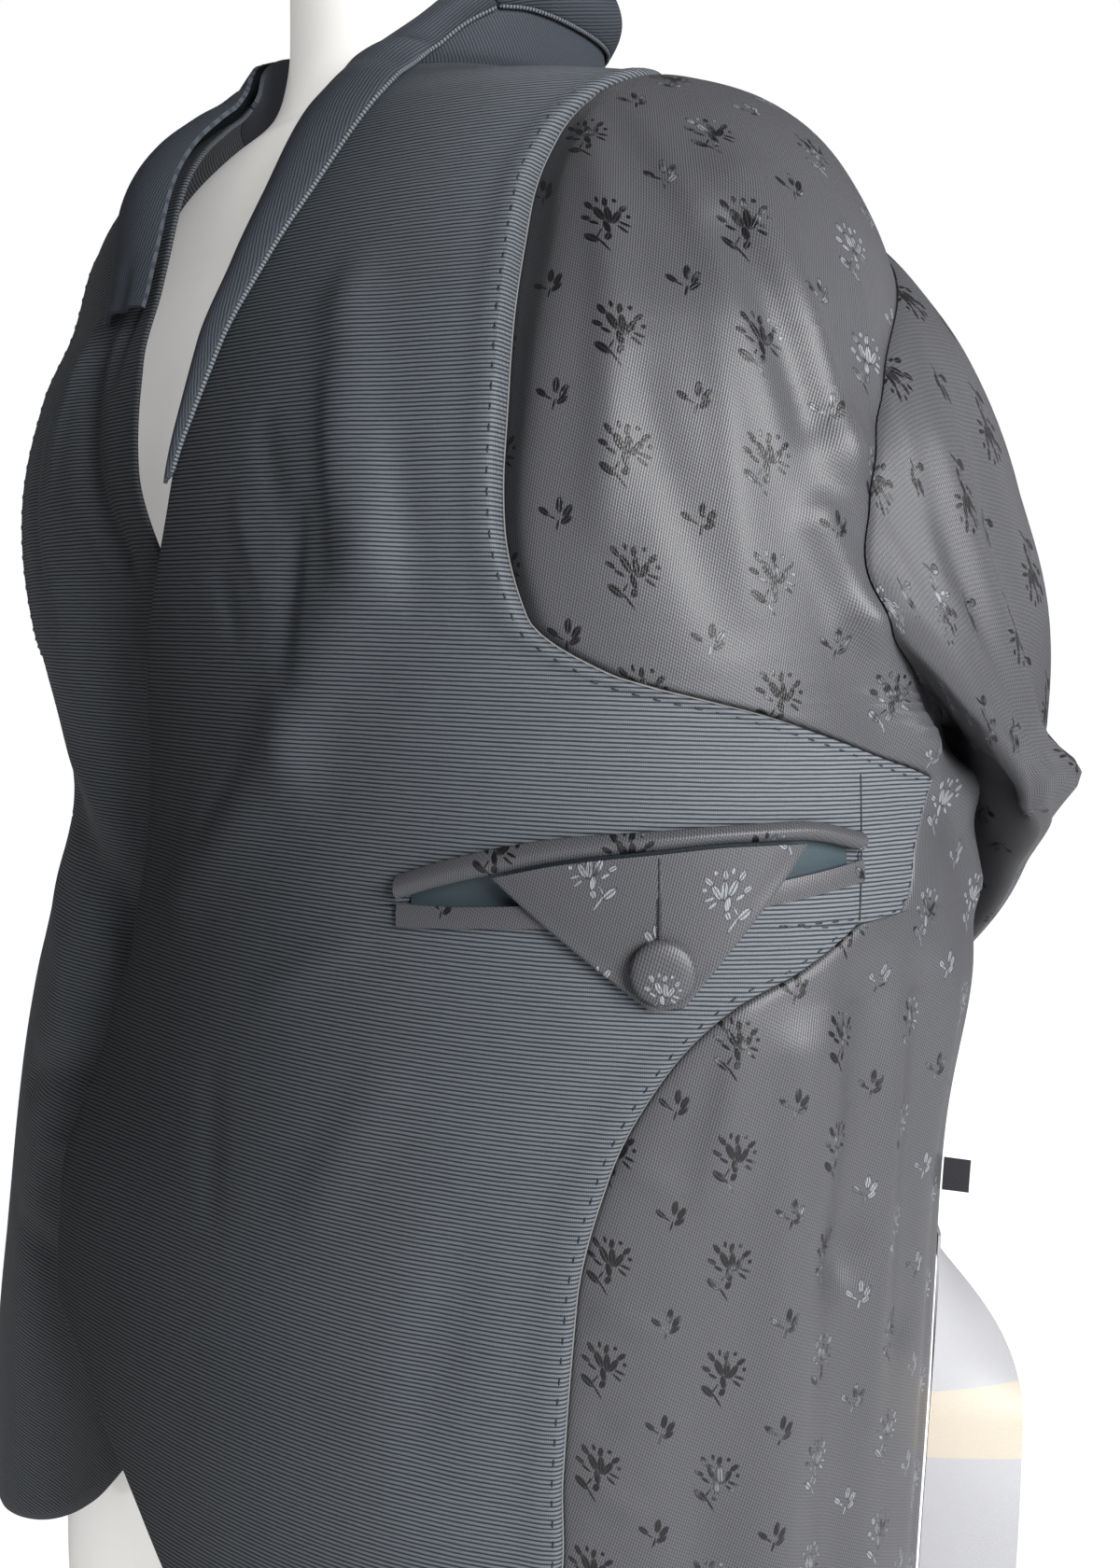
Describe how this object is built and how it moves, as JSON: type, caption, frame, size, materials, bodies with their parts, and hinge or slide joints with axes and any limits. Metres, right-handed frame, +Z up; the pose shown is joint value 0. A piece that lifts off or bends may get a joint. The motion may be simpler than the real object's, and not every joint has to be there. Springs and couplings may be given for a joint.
{
  "type": "tuxedo jacket on dress form",
  "caption": "Short tuxedo jacket worn inside out on a limbless dress form: ribbed facings, floral lining, breast pocket with button flap, rolled lapels and hanging sleeves.",
  "frame": {"origin": "middle of the dress form's flat foot, on the surface that it stands on", "axes": "+Z up, the jacket's front faces -Y, its left half (breast pocket) is at +X"},
  "size_m": [0.486, 0.3191, 0.806],
  "materials": {
    "form_shell": "smooth gloss",
    "ribbed_facing": "fine horizontal ribs, low sheen",
    "floral_lining": "satin twill with woven flower sprays",
    "outer_cloth": "smooth wool",
    "pocketing": "plain weave",
    "dark_tape": "woven tape",
    "white_tape": "satin tape"
  },
  "bodies": {
    "root": {"dress_form": "form_shell", "facing_left": "ribbed_facing", "facing_right": "ribbed_facing", "front_lining_left": "floral_lining", "front_lining_right": "floral_lining", "back_lining": "floral_lining", "sleeve_lining_left": "floral_lining", "sleeve_lining_right": "floral_lining", "cuff_left": "outer_cloth", "cuff_right": "outer_cloth", "hem_band_left": "outer_cloth", "hem_band_back": "outer_cloth", "hem_band_right": "outer_cloth", "collar_stand": "outer_cloth", "collar_fall": "outer_cloth", "lapel_roll_left": "outer_cloth", "lapel_roll_right": "outer_cloth", "pocket_welt_upper": "floral_lining", "pocket_welt_lower": "floral_lining", "pocket_bag": "pocketing", "pocket_flap": "floral_lining", "pocket_button": "floral_lining", "tab_label": "dark_tape", "care_label": "white_tape"}
  },
  "joints": []
}
